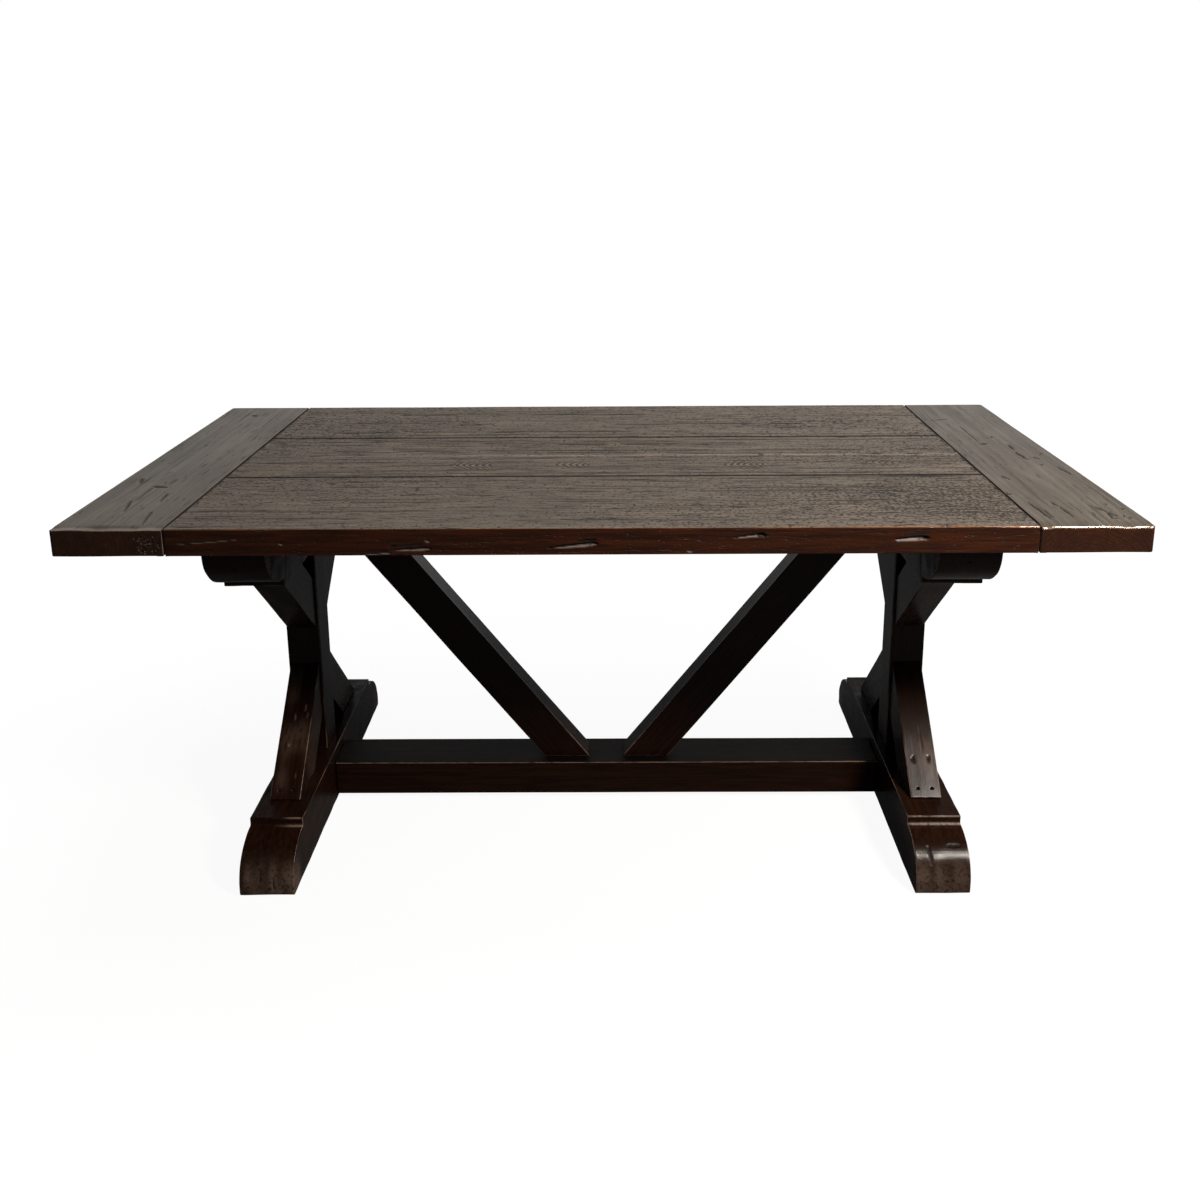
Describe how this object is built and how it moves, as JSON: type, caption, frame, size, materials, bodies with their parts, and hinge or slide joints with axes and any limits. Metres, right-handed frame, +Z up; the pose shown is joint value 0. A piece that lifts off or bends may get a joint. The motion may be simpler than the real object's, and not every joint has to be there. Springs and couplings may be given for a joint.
{
  "type": "trestle dining table",
  "caption": "Rectangular dining table with a rough-sawn boarded top and breadboard ends on braced trestles, tied by a low stretcher and slanting struts.",
  "frame": {"origin": "on the floor under the middle of the top", "axes": "+X along the table to the right, +Y to the rear, +Z up"},
  "size_m": [1.86, 0.99, 0.762],
  "materials": {
    "stained_top": "rough-sawn boards, dark brown stain, satin lacquer, distressed edges",
    "lacquered_base": "near-black brown stain, satin lacquer, worn edges",
    "bare_wood": "unfinished hardwood",
    "plated_steel": "zinc plated"
  },
  "bodies": {
    "root": {"plank_front": "stained_top", "plank_middle_front": "stained_top", "plank_middle_back": "stained_top", "plank_back": "stained_top", "breadboard_left": "stained_top", "breadboard_right": "stained_top", "stretcher": "lacquered_base", "foot_left": "lacquered_base", "foot_right": "lacquered_base", "bearer_left": "lacquered_base", "bearer_right": "lacquered_base", "post_left": "lacquered_base", "post_right": "lacquered_base", "strut_left": "lacquered_base", "strut_right": "lacquered_base", "brace_left_front_lower": "lacquered_base", "brace_left_front_upper": "lacquered_base", "brace_left_rear_lower": "lacquered_base", "brace_left_rear_upper": "lacquered_base", "brace_right_front_lower": "lacquered_base", "brace_right_front_upper": "lacquered_base", "brace_right_rear_lower": "lacquered_base", "brace_right_rear_upper": "lacquered_base", "plank_splines": "bare_wood", "breadboard_pegs": "bare_wood", "brace_dowels": "bare_wood", "strut_dowels": "bare_wood", "top_screws": "plated_steel", "brace_screws": "plated_steel", "strut_screws": "plated_steel", "stretcher_bolts": "plated_steel", "stretcher_washers": "plated_steel", "stretcher_nuts": "plated_steel"}
  },
  "joints": []
}
